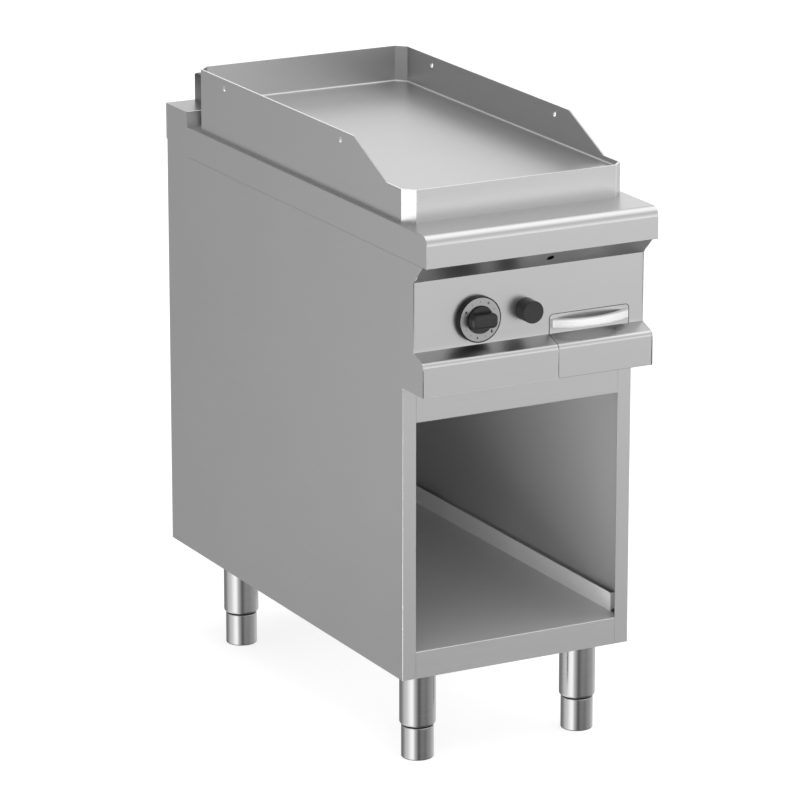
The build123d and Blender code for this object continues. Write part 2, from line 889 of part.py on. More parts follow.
# Knob grip: a round base that dips into the dial and a rounded bar across it
with BuildPart() as knob_grip:
    with BuildSketch(Plane.XZ.offset(-grip_y)):
        with Locations((knob_x, knob_z)):
            RectangleRounded(grip_length, grip_width, grip_corner)
    extrude(amount=grip_depth)
    fillet(knob_grip.faces().sort_by(Axis.Y)[0].edges(), radius=grip_round)
    rod_y(knob_x, knob_z, grip_y, grip_base_y, grip_base_radius)
    rod_y(
        knob_x,
        knob_z,
        grip_y - grip_depth / 2,
        grip_base_y,
        spindle_radius,
        mode=Mode.SUBTRACT,
    )
knob_grip.part.label = "knob_grip"
export_step(knob_grip.part, "parts/knob_grip.step")

# Dial: a black ring on the panel with a bright face let into it
with BuildPart() as dial_ring:
    rod_y(knob_x, knob_z, dial_y, panel_y, dial_radius)
    rod_y(knob_x, knob_z, dial_y, panel_y, dial_bore_radius, mode=Mode.SUBTRACT)
    rod_y(
        knob_x,
        knob_z,
        dial_y,
        dial_y + dial_face_thickness,
        dial_face_radius,
        mode=Mode.SUBTRACT,
    )
dial_ring.part.label = "dial_ring"
export_step(dial_ring.part, "parts/dial_ring.step")

with BuildPart() as dial_plate:
    rod_y(knob_x, knob_z, dial_y, dial_y + dial_face_thickness, dial_face_radius)
    rod_y(
        knob_x,
        knob_z,
        dial_y,
        dial_y + dial_face_thickness,
        dial_bore_radius,
        mode=Mode.SUBTRACT,
    )
dial_plate.part.label = "dial_plate"
export_step(dial_plate.part, "parts/dial_plate.step")

# Igniter button and the piezo body that guides it
with BuildPart() as igniter_button:
    rod_y(button_x, button_z, panel_y - button_reach, button_tail_y, button_radius)
    fillet(igniter_button.edges().group_by(Axis.Y)[0], radius=button_round)
igniter_button.part.label = "igniter_button"
export_step(igniter_button.part, "parts/igniter_button.step")

with BuildPart() as igniter_body:
    rod_y(button_x, button_z, panel_back_y, igniter_rear_y, button_radius + running_fit + igniter_wall)
    rod_y(
        button_x,
        button_z,
        panel_back_y,
        igniter_bore_y,
        button_radius + running_fit,
        mode=Mode.SUBTRACT,
    )
igniter_body.part.label = "igniter_body"
export_step(igniter_body.part, "parts/igniter_body.step")

# Control panel: bevel, face and the left half of the nose in one folded sheet
with BuildPart() as control_panel:
    nose_end_x = seam_x - drawer_gap
    with BuildSketch(Plane.YZ.offset(-inner_x)):
        with BuildLine():
            Polyline((bevel_y, skirt_bottom), (panel_y, panel_top), (panel_y, slope_top))
            FilletPolyline(*nose_outline, radius=nose_radius)
            Line((nose_y, nose_bottom), (post_y + nose_lap, nose_bottom))
            offset(amount=sheet, side=Side.LEFT, kind=Kind.INTERSECTION)
        make_face()
    extrude(amount=inner_x + nose_end_x)
    with BuildSketch(Plane.YZ.offset(nose_end_x)):
        with BuildLine():
            Polyline((bevel_y, skirt_bottom), (panel_y, panel_top), (panel_y, slope_top))
            offset(amount=sheet, side=Side.LEFT, kind=Kind.INTERSECTION)
        make_face()
    extrude(amount=inner_x - nose_end_x)
    with BuildSketch(Plane.YZ.offset(nose_end_x)):
        with BuildLine():
            FilletPolyline(*nose_outline, radius=nose_radius)
            Polyline((nose_y, nose_bottom), (panel_y, nose_bottom), (panel_y, slope_top))
        make_face()
    extrude(amount=-sheet)
    slab(-inner_x, inner_x, front_y, panel_y, skirt_bottom, worktop_top, mode=Mode.SUBTRACT)
    tab_hole_corner = tab_corner + drawer_gap
    with BuildSketch(Plane.XZ.offset(-panel_y)):
        with Locations(((seam_x + tab_right_x) / 2, slope_top)):
            RectangleRounded(
                tab_width + 2 * drawer_gap, 2 * (tab_height + drawer_gap), tab_hole_corner
            )
    extrude(amount=-sheet, mode=Mode.SUBTRACT)
    rod_y(knob_x, knob_z, panel_y, panel_back_y, sleeve_radius + panel_hole_air, mode=Mode.SUBTRACT)
    rod_y(button_x, button_z, panel_y, panel_back_y, button_radius + button_air, mode=Mode.SUBTRACT)
    bevel_mid = Vector(bevel_hole_x, (bevel_y + panel_y) / 2, (skirt_bottom + panel_top) / 2)
    with BuildSketch(Plane(origin=bevel_mid, x_dir=(1, 0, 0), z_dir=(0, -1, -1))):
        Circle(bevel_hole_radius)
    extrude(amount=-2 * sheet, mode=Mode.SUBTRACT)
control_panel.part.label = "control_panel"
export_step(control_panel.part, "parts/control_panel.step")

# Drawer front: a tab in the panel's plane and the right half of the nose
with BuildPart() as drawer_front:
    drawer_end_x = inner_x - drawer_end_gap
    drawer_return_y = post_y - drawer_gap
    tab_foot = nose_bottom + sheet
    with BuildSketch(Plane.XZ.offset(-panel_y)):
        with Locations(((seam_x + tab_right_x) / 2, (tab_foot + tab_top) / 2)):
            RectangleRounded(tab_width, tab_top - tab_foot, tab_corner)
    extrude(amount=-sheet)
    with BuildSketch(Plane.YZ.offset(seam_x)):
        with BuildLine():
            FilletPolyline(*nose_outline, radius=nose_radius)
            Line((nose_y, nose_bottom), (drawer_return_y, nose_bottom))
            offset(amount=sheet, side=Side.LEFT, kind=Kind.INTERSECTION)
        make_face()
    extrude(amount=drawer_end_x - seam_x)
    for x, inward in ((seam_x, 1), (drawer_end_x, -1)):
        with BuildSketch(Plane.YZ.offset(x)):
            with BuildLine():
                FilletPolyline(*nose_outline, radius=nose_radius)
                Polyline((nose_y, nose_bottom), (panel_y, nose_bottom), (panel_y, slope_top))
            make_face()
        extrude(amount=inward * sheet)
    for x in handle_screws_x:
        rod_y(x, handle_z, panel_y, panel_back_y, handle_screw_radius + screw_air, mode=Mode.SUBTRACT)
drawer_front.part.label = "drawer_front"
export_step(drawer_front.part, "parts/drawer_front.step")

# Grease pan behind the drawer front
with BuildPart() as grease_pan:
    slab(pan_left_x, pan_right_x, panel_back_y + handle_screw_head, pan_rear_y, pan_bottom, pan_top)
    slab(
        pan_left_x + sheet,
        pan_right_x - sheet,
        panel_back_y + handle_screw_head + sheet,
        pan_rear_y - sheet,
        pan_bottom + sheet,
        pan_top,
        mode=Mode.SUBTRACT,
    )
    slab(pan_left_x, pan_right_x, panel_back_y, panel_back_y + handle_screw_head, pan_bottom, slope_top)
grease_pan.part.label = "grease_pan"
export_step(grease_pan.part, "parts/grease_pan.step")

# Bowed drawer handle on the tab
with BuildPart() as drawer_handle:
    handle_mid_x = (handle_left_x + handle_right_x) / 2
    with BuildSketch(Plane.XY.offset(handle_z - handle_height / 2)):
        with BuildLine():
            ThreePointArc(
                (handle_left_x, panel_y - handle_end),
                (handle_mid_x, panel_y - handle_reach),
                (handle_right_x, panel_y - handle_end),
            )
            Polyline(
                (handle_right_x, panel_y - handle_end),
                (handle_right_x, panel_y),
                (handle_right_x - handle_foot, panel_y),
            )
            ThreePointArc(
                (handle_right_x - handle_foot, panel_y),
                (handle_mid_x, panel_y - handle_reach + handle_thickness),
                (handle_left_x + handle_foot, panel_y),
            )
            Polyline(
                (handle_left_x + handle_foot, panel_y),
                (handle_left_x, panel_y),
                (handle_left_x, panel_y - handle_end),
            )
        make_face()
    extrude(amount=handle_height)
    outer_face = drawer_handle.faces().filter_by(GeomType.CYLINDER).sort_by(Axis.Y)[0]
    fillet(outer_face.edges(), radius=handle_round)
    for x in handle_screws_x:
        rod_y(x, handle_z, panel_y - handle_screw_bite, panel_y, handle_screw_radius, mode=Mode.SUBTRACT)
drawer_handle.part.label = "drawer_handle"
export_step(drawer_handle.part, "parts/drawer_handle.step")

# Screws that hold the handle from behind the tab
with BuildPart() as handle_screws:
    for x in handle_screws_x:
        rod_y(x, handle_z, panel_y - handle_screw_bite, panel_back_y, handle_screw_radius)
        rod_y(x, handle_z, panel_back_y, panel_back_y + handle_screw_head, handle_screw_head_radius)
handle_screws.part.label = "handle_screws"
export_step(handle_screws.part, "parts/handle_screws.step")


# Runners that carry the pan on the bay ceiling
def drawer_runner(pan_x, outward):
    """An angle under one lower edge of the pan, with outward -1 on the left and 1 on the right."""
    web_x = pan_x + outward * slide_gap
    with BuildPart() as runner:
        slab(
            pan_x - outward * runner_ledge,
            web_x + outward * sheet,
            post_y + sheet,
            pan_rear_y,
            nose_bottom,
            nose_bottom + sheet,
        )
        slab(
            web_x,
            web_x + outward * sheet,
            post_y + sheet,
            pan_rear_y,
            nose_bottom,
            nose_bottom + runner_height,
        )
    return runner.part


runner_places = {
    "left_drawer_runner": (pan_left_x, -1),
    "right_drawer_runner": (pan_right_x, 1),
}
for name, (pan_x, outward) in runner_places.items():
    runner = drawer_runner(pan_x, outward)
    runner.label = name
    export_step(runner, f"parts/{name}.step")

# Pilot block inside the firebox front
with BuildPart() as pilot_burner:
    slab(
        pilot_x - pilot_margin,
        button_x + pilot_margin,
        firebox_front_y + sheet,
        firebox_front_y + sheet + pilot_depth,
        pilot_bottom,
        pilot_top,
    )
    rod_z(pilot_x, pilot_y, pilot_top, pilot_top + pilot_hood, pilot_hood_radius)
    rod_z(probe_x, pilot_y, pilot_bottom, pilot_top, probe_radius, mode=Mode.SUBTRACT)
    rod_z(button_x, pilot_y, pilot_bottom, pilot_top, electrode_radius, mode=Mode.SUBTRACT)
pilot_burner.part.label = "pilot_burner"
export_step(pilot_burner.part, "parts/pilot_burner.step")

# Spark electrode and thermocouple tip, standing in the pilot block
with BuildPart() as spark_electrode:
    rod_z(button_x, pilot_y, pilot_bottom, pilot_top + electrode_rise, electrode_radius)
spark_electrode.part.label = "spark_electrode"
export_step(spark_electrode.part, "parts/spark_electrode.step")


def thin_line(start_x, start_z, end_x, jog_y, radius, bore):
    """A thin line from the valve's rear that steps aside, runs back and turns up to the pilot block."""
    points = (
        (start_x, valve_rear_y, start_z),
        (start_x, jog_y, start_z),
        (end_x, jog_y, start_z),
        (end_x, pilot_y, start_z),
        (end_x, pilot_y, pilot_bottom),
    )
    return pipe(points, radius, bore, line_bend)


line_x = knob_x + line_side
line_jog_y = valve_rear_y + line_jog
with BuildPart() as thermocouple:
    add(thin_line(line_x, knob_z - line_spread, probe_x, line_jog_y, line_radius, line_bore))
    rod_z(probe_x, pilot_y, pilot_bottom, pilot_top + probe_rise, probe_radius)
thermocouple.part.label = "thermocouple"
export_step(thermocouple.part, "parts/thermocouple.step")

pilot_pipe = thin_line(line_x, knob_z + line_spread, pilot_x, line_jog_y, line_radius, line_bore)
pilot_pipe.label = "pilot_pipe"
export_step(pilot_pipe, "parts/pilot_pipe.step")

# Lead from the piezo body to the spark electrode
lead_points = (
    (button_x, igniter_rear_y, button_z),
    (button_x, pilot_y, button_z),
    (button_x, pilot_y, pilot_bottom),
)
with BuildPart() as ignition_lead:
    with BuildLine() as lead_path:
        FilletPolyline(*lead_points, radius=line_bend)
    with BuildSketch(Plane(origin=lead_path.line @ 0, z_dir=lead_path.line % 0)):
        Circle(line_radius)
    sweep()
ignition_lead.part.label = "ignition_lead"
export_step(ignition_lead.part, "parts/ignition_lead.step")

# Gas pipes: from the inlet up and forward to the valve, and from the valve to the injector
inlet_y = back_y - inlet_inset
inlet_top = cabinet_bottom + inlet_plate + inlet_hex_height
supply_z = nose_bottom + supply_rise
supply_points = (
    (knob_x, inlet_y, inlet_top),
    (knob_x, inlet_y, supply_z),
    (knob_x, valve_mid_y, supply_z),
    (knob_x, valve_mid_y, valve_bottom),
)
supply_pipe = pipe(supply_points, supply_radius, supply_bore, supply_bend)
supply_pipe.label = "supply_pipe"
export_step(supply_pipe, "parts/supply_pipe.step")

burner_pipe_points = (
    (knob_x, valve_mid_y, valve_top),
    (knob_x, valve_mid_y, burner_z),
    (knob_x, injector_front_y, burner_z),
)
burner_pipe = pipe(burner_pipe_points, burner_pipe_radius, burner_pipe_bore, burner_pipe_bend)
burner_pipe.label = "burner_pipe"
export_step(burner_pipe, "parts/burner_pipe.step")

# Bracket on the back panel that holds the gas inlet
with BuildPart() as inlet_bracket:
    bracket_x0 = knob_x - inlet_plate_width / 2
    bracket_x1 = knob_x + inlet_plate_width / 2
    bracket_y0 = inlet_y - inlet_inset + fit_gap
    slab(bracket_x0, bracket_x1, bracket_y0, back_y, cabinet_bottom, cabinet_bottom + inlet_plate)
    slab(
        bracket_x0,
        bracket_x1,
        back_y - inlet_plate,
        back_y,
        cabinet_bottom,
        cabinet_bottom + inlet_plate_width / 2,
    )
    rod_z(
        knob_x,
        inlet_y,
        cabinet_bottom,
        cabinet_bottom + inlet_plate,
        inlet_neck_radius + fit_gap,
        mode=Mode.SUBTRACT,
    )
inlet_bracket.part.label = "inlet_bracket"
export_step(inlet_bracket.part, "parts/inlet_bracket.step")

# Gas inlet: a hex on the bracket and a threaded end pointing down
with BuildPart() as gas_inlet:
    with BuildSketch(Plane.XY.offset(cabinet_bottom + inlet_plate)):
        with Locations((knob_x, inlet_y)):
            RegularPolygon(inlet_hex, 6)
    extrude(amount=inlet_hex_height)
    rod_z(knob_x, inlet_y, cabinet_bottom, cabinet_bottom + inlet_plate, inlet_neck_radius)
    rod_z(knob_x, inlet_y, cabinet_bottom - inlet_thread, cabinet_bottom, inlet_radius)
    rod_z(knob_x, inlet_y, cabinet_bottom - inlet_thread, inlet_top, supply_bore, mode=Mode.SUBTRACT)
gas_inlet.part.label = "gas_inlet"
export_step(gas_inlet.part, "parts/gas_inlet.step")
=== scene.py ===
import json
import math

import bmesh
import bpy
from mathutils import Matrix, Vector
from mathutils.bvhtree import BVHTree

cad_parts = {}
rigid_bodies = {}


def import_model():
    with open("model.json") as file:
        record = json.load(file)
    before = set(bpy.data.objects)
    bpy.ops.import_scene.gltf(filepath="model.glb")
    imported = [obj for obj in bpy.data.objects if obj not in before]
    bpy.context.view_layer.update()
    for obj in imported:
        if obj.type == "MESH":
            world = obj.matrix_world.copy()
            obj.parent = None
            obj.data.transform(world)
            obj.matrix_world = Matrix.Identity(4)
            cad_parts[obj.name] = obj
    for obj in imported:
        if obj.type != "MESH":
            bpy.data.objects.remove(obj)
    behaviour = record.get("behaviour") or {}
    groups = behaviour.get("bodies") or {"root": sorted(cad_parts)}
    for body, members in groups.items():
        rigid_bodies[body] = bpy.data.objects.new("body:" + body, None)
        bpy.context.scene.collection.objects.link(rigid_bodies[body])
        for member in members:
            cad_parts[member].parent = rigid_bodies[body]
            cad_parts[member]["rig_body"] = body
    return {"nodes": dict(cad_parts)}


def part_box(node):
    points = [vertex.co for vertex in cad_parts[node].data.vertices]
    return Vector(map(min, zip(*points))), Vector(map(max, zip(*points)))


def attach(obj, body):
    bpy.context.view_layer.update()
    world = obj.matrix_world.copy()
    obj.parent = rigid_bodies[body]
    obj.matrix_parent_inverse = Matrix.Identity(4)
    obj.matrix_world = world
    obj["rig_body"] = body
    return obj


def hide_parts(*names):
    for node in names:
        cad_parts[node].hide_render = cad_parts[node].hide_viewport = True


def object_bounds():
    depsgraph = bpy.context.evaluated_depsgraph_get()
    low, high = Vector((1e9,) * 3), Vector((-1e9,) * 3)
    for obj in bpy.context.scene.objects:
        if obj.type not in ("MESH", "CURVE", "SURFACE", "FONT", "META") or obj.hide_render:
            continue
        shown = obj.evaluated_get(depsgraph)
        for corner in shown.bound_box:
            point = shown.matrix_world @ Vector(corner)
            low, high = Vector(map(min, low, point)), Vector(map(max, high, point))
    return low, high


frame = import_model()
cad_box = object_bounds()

# Looks of a gas griddle module on an open base cabinet. Lengths are in metres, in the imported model's frame.
MM = 0.001
nodes = frame["nodes"]
body_of_node = {name: node["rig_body"] for name, node in nodes.items()}
FEET = ("front_left", "front_right", "rear_left", "rear_right")


# Materials

# Direction of the brushing, as noise scales along x, y and z
GRAIN_FINE = 900.0
GRAIN_LONG = 8.0
GRAIN_X = (GRAIN_LONG, GRAIN_FINE, GRAIN_FINE)
GRAIN_Y = (GRAIN_FINE, GRAIN_LONG, GRAIN_FINE)
GRAIN_LEVEL = (GRAIN_LONG, GRAIN_LONG, GRAIN_FINE)

# Steel: the tones and shine of its streaks, and the handling marks over them
STEEL_TONE = 0.64
STEEL_METALLIC = 1.0
SATIN = 0.33
STREAK_DETAIL = 4.0
STREAK_DARK, STREAK_LIGHT = 0.985, 1.015
STREAK_SHINE = 0.025
STREAK_DEPTH = 0.05 * MM
HANDLING_SCALE = 6.0
HANDLING_SHINE = 0.01

# Plastic and rubber: clouds of tone and an eroded skin
MOULD_CLOUDS = 30.0
MOULD_DARK, MOULD_LIGHT = 0.85, 1.2
MOULD_SHINE = 0.06
MOULD_DETAIL = 2.0
MOULD_RELIEF, MOULD_DEPTH = 0.12, 0.05 * MM

# Castings and stained metal: blotches of tone and a rough skin
CAST_BLOTCHES = 18.0
CAST_DARK, CAST_LIGHT = 0.75, 1.15
CAST_SHINE = 0.08
CAST_DETAIL = 4.0
CAST_RELIEF, CAST_DEPTH = 0.2, 0.1 * MM

# Steel darkened towards its top, partly heat tint and partly painted shade
FLUE_CLOUDS = 25.0
FLUE_RISE = (0.25, 0.75)
FLUE_BLOTCH = 0.06
FLUE_TINT = (1.02, 1.0, 0.97)
FLUE_SHINE = (0.36, 0.46)

# The middle part of a noise's range, where nearly all of its values lie
NOISE_LOW, NOISE_HIGH = 0.3, 0.7


def new_material(name):
    """A new node material, its node tree and its surface shader."""
    material = bpy.data.materials.new(name)
    material.use_nodes = True
    tree = material.node_tree
    shader = tree.nodes["Principled BSDF"]
    return material, tree, shader


def noise(tree, scale, stretch=(1.0, 1.0, 1.0), detail=3.0):
    """A noise over the object's own coordinates, drawn out along the axes with a small stretch value."""
    coords = tree.nodes.new("ShaderNodeTexCoord")
    mapping = tree.nodes.new("ShaderNodeMapping")
    mapping.inputs["Scale"].default_value = stretch
    texture = tree.nodes.new("ShaderNodeTexNoise")
    texture.inputs["Scale"].default_value = scale
    texture.inputs["Detail"].default_value = detail
    tree.links.new(coords.outputs["Object"], mapping.inputs["Vector"])
    tree.links.new(mapping.outputs["Vector"], texture.inputs["Vector"])
    return texture.outputs["Fac"]


def ranged(tree, value, low, high, start=NOISE_LOW, stop=NOISE_HIGH):
    """A value mapped to a range, as a rule from the middle part of a noise."""
    node = tree.nodes.new("ShaderNodeMapRange")
    node.inputs["From Min"].default_value = start
    node.inputs["From Max"].default_value = stop
    node.inputs["To Min"].default_value = low
    node.inputs["To Max"].default_value = high
    tree.links.new(value, node.inputs["Value"])
    return node.outputs["Result"]


def blend_colours(tree, value, dark, light):
    """A colour between two colours, chosen by a noise."""
    ramp = tree.nodes.new("ShaderNodeValToRGB")
    ramp.color_ramp.elements[0].position = NOISE_LOW
    ramp.color_ramp.elements[0].color = (*dark, 1.0)
    ramp.color_ramp.elements[1].position = NOISE_HIGH
    ramp.color_ramp.elements[1].color = (*light, 1.0)
    tree.links.new(value, ramp.inputs["Fac"])
    return ramp.outputs["Color"]


def summed(tree, first, second):
    """Two values added together."""
    node = tree.nodes.new("ShaderNodeMath")
    node.operation = "ADD"
    tree.links.new(first, node.inputs[0])
    tree.links.new(second, node.inputs[1])
    return node.outputs["Value"]


def bumped(tree, shader, height, strength, distance):
    """Fine relief on a shader from a height value."""
    bump = tree.nodes.new("ShaderNodeBump")
    bump.inputs["Strength"].default_value = strength
    bump.inputs["Distance"].default_value = distance
    tree.links.new(height, bump.inputs["Height"])
    tree.links.new(bump.outputs["Normal"], shader.inputs["Normal"])


def shade(tone, factor=1.0):
    """A neutral grey, made darker or lighter by a factor."""
    return (tone * factor, tone * factor, tone * factor)


def steel(name, tone, grain, roughness, relief=0.02, metallic=STEEL_METALLIC):
    """Brushed stainless steel, with its grain along one direction and faint handling marks."""
    material, tree, shader = new_material(name)
    streaks = noise(tree, 1.0, grain, STREAK_DETAIL)
    clouds = noise(tree, HANDLING_SCALE)
    shader.inputs["Metallic"].default_value = metallic
    greys = blend_colours(tree, streaks, shade(tone, STREAK_DARK), shade(tone, STREAK_LIGHT))
    tree.links.new(greys, shader.inputs["Base Color"])
    fine = ranged(tree, streaks, roughness - STREAK_SHINE, roughness + STREAK_SHINE)
    broad = ranged(tree, clouds, -HANDLING_SHINE, HANDLING_SHINE)
    tree.links.new(summed(tree, fine, broad), shader.inputs["Roughness"])
    bumped(tree, shader, streaks, relief, STREAK_DEPTH)
    return material


def moulded(name, colour, roughness, speckle, gloss=0.5):
    """Moulded plastic or rubber with a fine eroded texture."""
    material, tree, shader = new_material(name)
    grit = noise(tree, speckle, detail=MOULD_DETAIL)
    clouds = noise(tree, MOULD_CLOUDS)
    dark = tuple(MOULD_DARK * part for part in colour)
    light = tuple(MOULD_LIGHT * part for part in colour)
    tree.links.new(blend_colours(tree, clouds, dark, light), shader.inputs["Base Color"])
    shine = ranged(tree, grit, roughness - MOULD_SHINE, roughness + MOULD_SHINE)
    tree.links.new(shine, shader.inputs["Roughness"])
    shader.inputs["Specular IOR Level"].default_value = gloss
    bumped(tree, shader, grit, MOULD_RELIEF, MOULD_DEPTH)
    return material


def cast(name, colour, roughness, grit_scale):
    """A cast, turned or heat-stained metal with blotches and a rough skin."""
    material, tree, shader = new_material(name)
    grit = noise(tree, grit_scale, detail=CAST_DETAIL)
    blotches = noise(tree, CAST_BLOTCHES)
    shader.inputs["Metallic"].default_value = STEEL_METALLIC
    dark = tuple(CAST_DARK * part for part in colour)
    light = tuple(CAST_LIGHT * part for part in colour)
    tree.links.new(blend_colours(tree, blotches, dark, light), shader.inputs["Base Color"])
    shine = ranged(tree, grit, roughness - CAST_SHINE, roughness + CAST_SHINE)
    tree.links.new(shine, shader.inputs["Roughness"])
    bumped(tree, shader, grit, CAST_RELIEF, CAST_DEPTH)
    return material


def heat_tint_and_shade(name, low_tone, high_tone, node):
    """Steel darkened towards a node's top, partly heat tint and partly painted shade."""
    material, tree, shader = new_material(name)
    low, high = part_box(node)
    coords = tree.nodes.new("ShaderNodeTexCoord")
    split = tree.nodes.new("ShaderNodeSeparateXYZ")
    tree.links.new(coords.outputs["Object"], split.inputs["Vector"])
    clouds = noise(tree, FLUE_CLOUDS)
    # darker towards the top: painted shade together with heat tint
    rise = ranged(tree, split.outputs["Z"], *FLUE_RISE, low[2], high[2])
    stain = summed(tree, rise, ranged(tree, clouds, -FLUE_BLOTCH, FLUE_BLOTCH))
    warm = tuple(low_tone * part for part in FLUE_TINT)
    tree.links.new(blend_colours(tree, stain, warm, shade(high_tone)), shader.inputs["Base Color"])
    tree.links.new(ranged(tree, clouds, *FLUE_SHINE), shader.inputs["Roughness"])
    shader.inputs["Metallic"].default_value = STEEL_METALLIC
    return material


finishes = {
    "front_sheet": steel("front_sheet", STEEL_TONE, GRAIN_X, SATIN),
    "side_sheet": steel("side_sheet", STEEL_TONE, GRAIN_Y, SATIN),
    "guard_sheet": steel("guard_sheet", STEEL_TONE, GRAIN_LEVEL, SATIN),
    "ground_plate": steel("ground_plate", STEEL_TONE, GRAIN_Y, SATIN),
    "polished_tube": steel("polished_tube", 0.44, GRAIN_LEVEL, 0.19, relief=0.01),
    "handle_bar": steel("handle_bar", 0.9, GRAIN_X, 0.36, relief=0.01, metallic=0.5),
    "fastener": steel("fastener", 0.55, GRAIN_LEVEL, 0.3),
    # painted shade: a darker, duller copy of the steel for the bay's side walls and the flange tabs
    "painted_shade_bay_sheet": steel("painted_shade_bay_sheet", 0.42, GRAIN_X, 0.46, metallic=0.25),
    "shelf_sheet": steel("shelf_sheet", 0.62, GRAIN_X, 0.46, metallic=0.25),
    # painted light: a near-white copy of the steel that makes the shelf's flanges look lit
    "painted_light_flange": steel("painted_light_flange", 0.92, GRAIN_Y, 0.5, metallic=0.05),
    "mill_sheet": steel("mill_sheet", 0.45, GRAIN_Y, 0.4),
    # painted shade: a darker copy of the front steel for the slopes of the front and the upstand's top
    "painted_shade_sheet": steel("painted_shade_sheet", 0.47, GRAIN_X, SATIN),
    # painted highlight: a bright copy of the steel for rounded folds and rims
    "painted_highlight_edge": steel("painted_highlight_edge", 0.95, GRAIN_LEVEL, 0.3, metallic=0.7),
    # heat tint and painted shade on the flue outlet
    "heat_tint_and_shade_sheet": heat_tint_and_shade("heat_tint_and_shade_sheet", 0.34, 0.16, "flue_outlet"),
    "dial_face": steel("dial_face", 0.5, GRAIN_X, 0.38),
    "black_plastic": moulded("black_plastic", (0.014, 0.014, 0.015), 0.32, 1800.0),
    "dial_rim": moulded("dial_rim", (0.010, 0.010, 0.011), 0.4, 1800.0, gloss=0.25),
    # painted shade: a black finish for the bottom and the groove of each foot
    "painted_shade_black": moulded("painted_shade_black", (0.015, 0.015, 0.015), 0.7, 1200.0),
    "print_ink": moulded("print_ink", (0.03, 0.03, 0.03), 0.6, 2500.0),
    "lead_rubber": moulded("lead_rubber", (0.2, 0.03, 0.02), 0.55, 1500.0),
    "ceramic": moulded("ceramic", (0.7, 0.68, 0.63), 0.25, 900.0),
    "stained_steel": cast("stained_steel", (0.3, 0.27, 0.24), 0.5, 500.0),
    "valve_alloy": cast("valve_alloy", (0.5, 0.5, 0.51), 0.45, 700.0),
    "brass": cast("brass", (0.72, 0.53, 0.25), 0.32, 900.0),
}


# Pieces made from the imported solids

SHEET = 1.5 * MM
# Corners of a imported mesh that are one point
WELD_DISTANCE = 0.002 * MM
# Turns between faces: the same flat face, a rounded bend, and an edge to round
FLAT_ANGLE = math.radians(0.2)
BEND_ANGLE = math.radians(1.0)
SHARP_ANGLE = math.radians(28.0)
# Turns that are shaded as edges
SMOOTH_ANGLE = math.radians(35.0)
CARVED_ANGLE = math.radians(30.0)
# Faces wider than this are broad faces of a sheet, not its cut edge
FOLD_WIDTH = 5.0 * MM
# Steps in a rounded edge, and how far its corners may stray, as a share of its radius
ROUND_STEPS = 3
STRAY_LIMIT = 0.75
# Radii of the rounded edges
SHEET_FOLD = 0.6 * MM
HANDLE_EDGE = 0.3 * MM
DIAL_EDGE = 0.5 * MM
PLASTIC_EDGE = 0.4 * MM
LEG_EDGE = 0.5 * MM
FOOT_EDGE = 0.4 * MM


def wear(obj, *names):
    """Give an object its finishes, in slot order."""
    obj.data.materials.clear()
    for name in names:
        obj.data.materials.append(finishes[name])


def recolour(obj, finish, picks):
    """Give the faces that a test picks a finish of their own."""
    obj.data.materials.append(finishes[finish])
    index = len(obj.data.materials) - 1
    for polygon in obj.data.polygons:
        if picks(polygon):
            polygon.material_index = index


def sharp_edges(bm, least_angle):
    """Edges where two faces meet at more than an angle."""
    joined = [edge for edge in bm.edges if len(edge.link_faces) == 2]
    return [edge for edge in joined if edge.calc_face_angle(0.0) > least_angle]


def smooth_by_angle(obj, angle):
    """Smooth shading that keeps the edges sharper than an angle."""
    for polygon in obj.data.polygons:
        polygon.use_smooth = True
    obj.data.set_sharp_from_angle(angle=angle)
    weighted = obj.modifiers.new("even_normals", "WEIGHTED_NORMAL")
    weighted.keep_sharp = True


def mean_width(face):
    """A face's area over half its perimeter, which is small for the cut edge of a sheet."""
    return 2.0 * face.calc_area() / face.calc_perimeter()


def flatten_broad(mesh):
    """Flat shading on the broad faces of a sheet, so that only its bends and rims are shaded round."""
    for polygon in mesh.polygons:
        corners = [mesh.vertices[index].co for index in polygon.vertices]
        perimeter = sum((corner - corners[i - 1]).length for i, corner in enumerate(corners))
        polygon.use_smooth = 2.0 * polygon.area < FOLD_WIDTH * perimeter


def is_bend(face):
    """Whether a face is a strip of a rounded bend, which runs smoothly into its neighbours."""
    turns = [edge.calc_face_angle(0.0) for edge in face.edges if edge.calc_length() > FOLD_WIDTH]
    return any(BEND_ANGLE < turn < SHARP_ANGLE for turn in turns)


def fold_edges(bm, follow_bends):
    """Outer edges where two broad faces of sheet meet, and on request where a broad face ends a bend."""
    folds = []
    for edge in sharp_edges(bm, SHARP_ANGLE):
        narrow, broad = sorted(edge.link_faces, key=mean_width)
        folded = mean_width(narrow) > FOLD_WIDTH or (follow_bends and is_bend(narrow))
        if edge.is_convex and mean_width(broad) > FOLD_WIDTH and folded:
            folds.append(edge)
    return folds


def settle(mesh, original, low, high, limit):
    """Bring stray corners of rounded edges back to the solid that they came from, inside its box."""
    for vert in mesh.vertices:
        point, _, _, distance = original.find_nearest(vert.co)
        if distance > limit:
            vert.co = point
        vert.co = [min(max(c, a), b) for c, a, b in zip(vert.co, low, high)]


